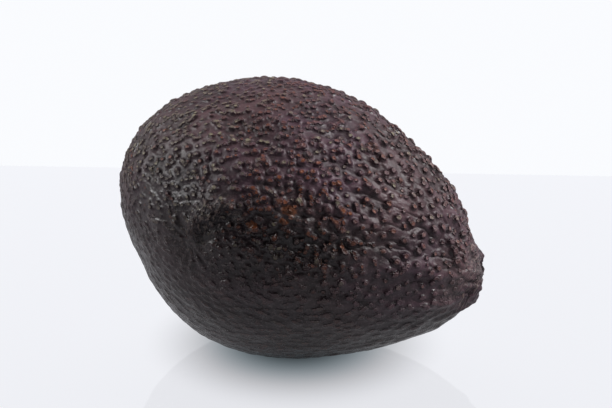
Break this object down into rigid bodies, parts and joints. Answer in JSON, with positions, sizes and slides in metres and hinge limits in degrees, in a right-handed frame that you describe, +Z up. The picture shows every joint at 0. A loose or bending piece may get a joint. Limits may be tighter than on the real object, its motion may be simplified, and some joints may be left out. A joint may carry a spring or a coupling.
{
  "type": "avocado",
  "caption": "Whole ripe avocado with dark pebbled skin and a corky stalk stub in its stem end, lying on its side; food item, prop or object to hold and pick up.",
  "frame": {"origin": "middle of the small flat spot that the fruit rests on, plumb below its weight, on the surface that it lies on", "axes": "+Z up from the surface it lies on; +X along the fruit towards its stalk end, which droops a little; +Y to its left side seen along +X"},
  "size_m": [0.0953, 0.0717, 0.071],
  "materials": {
    "skin": "waxy, half-glossy, pebbled purple-black skin",
    "stalk_wood": "dry, corky, matt"
  },
  "bodies": {
    "root": {"fruit": "skin", "stalk_stub": "stalk_wood"}
  },
  "joints": []
}
